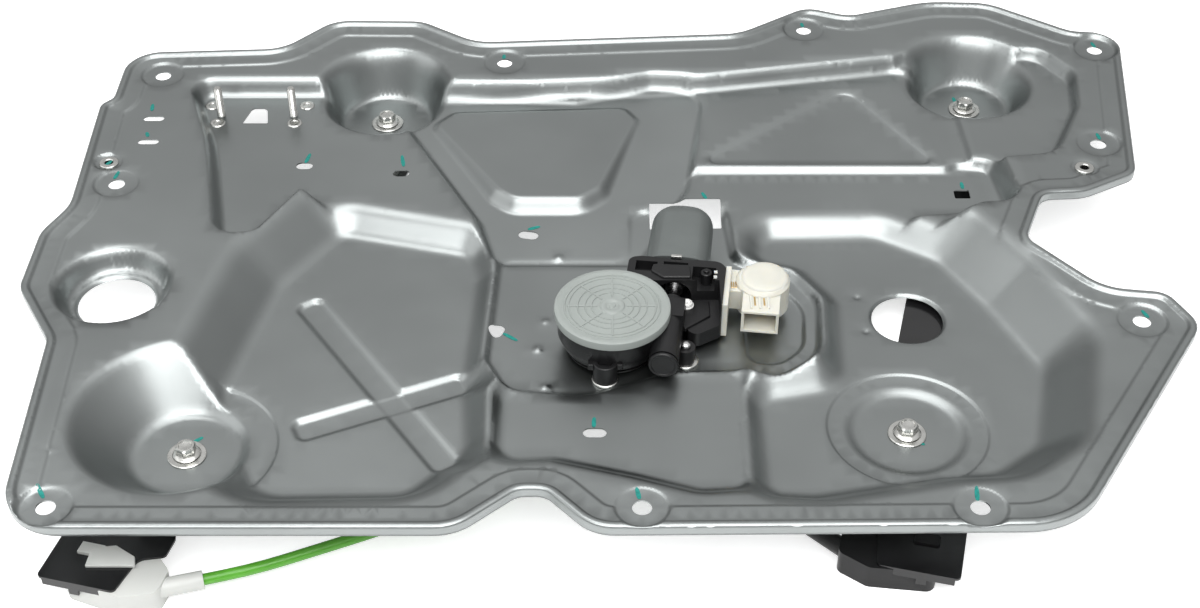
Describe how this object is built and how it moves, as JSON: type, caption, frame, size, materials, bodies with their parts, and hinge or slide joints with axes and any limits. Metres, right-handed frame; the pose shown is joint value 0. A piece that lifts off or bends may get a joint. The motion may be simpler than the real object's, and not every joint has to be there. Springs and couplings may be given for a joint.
{
  "type": "window regulator",
  "caption": "Power cable window regulator: pressed steel carrier plate with twin slanted guide rails, cable drum, gear motor with ribbed round cover, connector and glass carriers.",
  "frame": {"origin": "centre of the lower middle mounting hole, on the seating face of its round pad", "axes": "+X along the plate with the motor's connector side, +Y up the door, +Z out of the plate on the motor side"},
  "size_m": [0.7746, 0.5831, 0.065],
  "materials": {
    "plate_steel": "galvanised, satin",
    "rail_steel": "black coat, glossy",
    "bracket_steel": "galvanised, satin",
    "zinc": "zinc plated",
    "cable_steel": "stranded, greased",
    "shaft_steel": "machined",
    "can_steel": "zinc nickel, satin",
    "magnet": "ferrite, matt",
    "brass": "plain",
    "black_plastic": "moulded, satin",
    "cover_plastic": "moulded, satin",
    "guide_plastic": "natural acetal",
    "slider_plastic": "natural acetal",
    "pulley_plastic": "moulded",
    "gear_plastic": "natural acetal",
    "nylon": "natural nylon",
    "rubber": "moulded",
    "green_conduit": "smooth bright green sleeve",
    "black_conduit": "smooth sleeve"
  },
  "bodies": {
    "plate": {"carrier_plate": "plate_steel", "left_rail": "rail_steel", "right_rail": "rail_steel", "left_lower_guide": "guide_plastic", "right_lower_guide": "black_plastic", "left_upper_guide": "guide_plastic", "right_upper_guide": "guide_plastic", "left_rail_cable": "cable_steel", "right_rail_cable": "cable_steel", "drum_cables": "cable_steel", "pulley_pins": "zinc", "rail_bolts": "zinc", "rail_washers": "zinc", "rail_nuts": "zinc", "stud_plates": "bracket_steel", "plate_studs": "zinc", "stud_rivets": "zinc", "insert_nuts": "zinc", "gear_housing": "black_plastic", "gear_cover": "cover_plastic", "drum_case": "black_plastic", "motor_screws": "zinc", "housing_screw": "zinc", "brush_frame": "black_plastic", "motor_can": "can_steel", "motor_magnets": "magnet", "motor_connector": "nylon", "connector_terminals": "brass", "upper_left_conduit": "black_conduit", "crossing_conduit": "green_conduit", "lower_right_conduit": "black_conduit", "conduit_clips": "black_plastic"},
    "drum": {"cable_drum": "slider_plastic", "cable_wraps": "cable_steel", "output_shaft": "shaft_steel", "wheel_driver": "bracket_steel", "rubber_damper": "rubber", "worm_wheel": "gear_plastic"},
    "armature": {"armature": "shaft_steel", "worm": "shaft_steel"},
    "left_carrier": {"left_slider": "slider_plastic", "left_nipples": "zinc", "left_glass_bracket": "bracket_steel", "left_glass_nuts": "zinc"},
    "right_carrier": {"right_slider": "slider_plastic", "right_nipples": "zinc", "right_glass_bracket": "bracket_steel", "right_glass_nuts": "zinc"},
    "left_pulley": {"left_pulley": "pulley_plastic"},
    "right_pulley": {"right_pulley": "pulley_plastic"}
  },
  "joints": [
    {"name": "drum_spin", "type": "hinge", "parent": "plate", "child": "drum", "pos_m": [-0.016, 0.168, -0.0445], "axis": [0, 0, -1], "range_deg": [0, 777.5]},
    {"name": "armature_spin", "type": "hinge", "parent": "plate", "child": "armature", "pos_m": [0.01973, 0.16361, -0.008], "axis": [0.1219, 0.9925, 0], "range_deg": [0, 37325]},
    {"name": "left_slide", "type": "slide", "parent": "plate", "child": "left_carrier", "axis": [-0.2453, -0.9694, 0], "range_m": [0, 0.285]},
    {"name": "right_slide", "type": "slide", "parent": "plate", "child": "right_carrier", "axis": [-0.2453, -0.9694, 0], "range_m": [0, 0.285]},
    {"name": "left_pulley_spin", "type": "hinge", "parent": "plate", "child": "left_pulley", "pos_m": [-0.1605, 0.45588, -0.0445], "axis": [0, 0, 1], "range_deg": [0, 859.5]},
    {"name": "right_pulley_spin", "type": "hinge", "parent": "plate", "child": "right_pulley", "pos_m": [0.24466, 0.4837, -0.0445], "axis": [0, 0, -1], "range_deg": [0, 859.5]}
  ],
  "couplings": [
    {"joint": "armature_spin", "follows": "drum_spin", "ratio": 48},
    {"joint": "left_slide", "follows": "drum_spin", "m_per_rad": 0.021},
    {"joint": "right_slide", "follows": "drum_spin", "m_per_rad": 0.021},
    {"joint": "left_pulley_spin", "follows": "drum_spin", "ratio": 1.1053},
    {"joint": "right_pulley_spin", "follows": "drum_spin", "ratio": 1.1053}
  ]
}
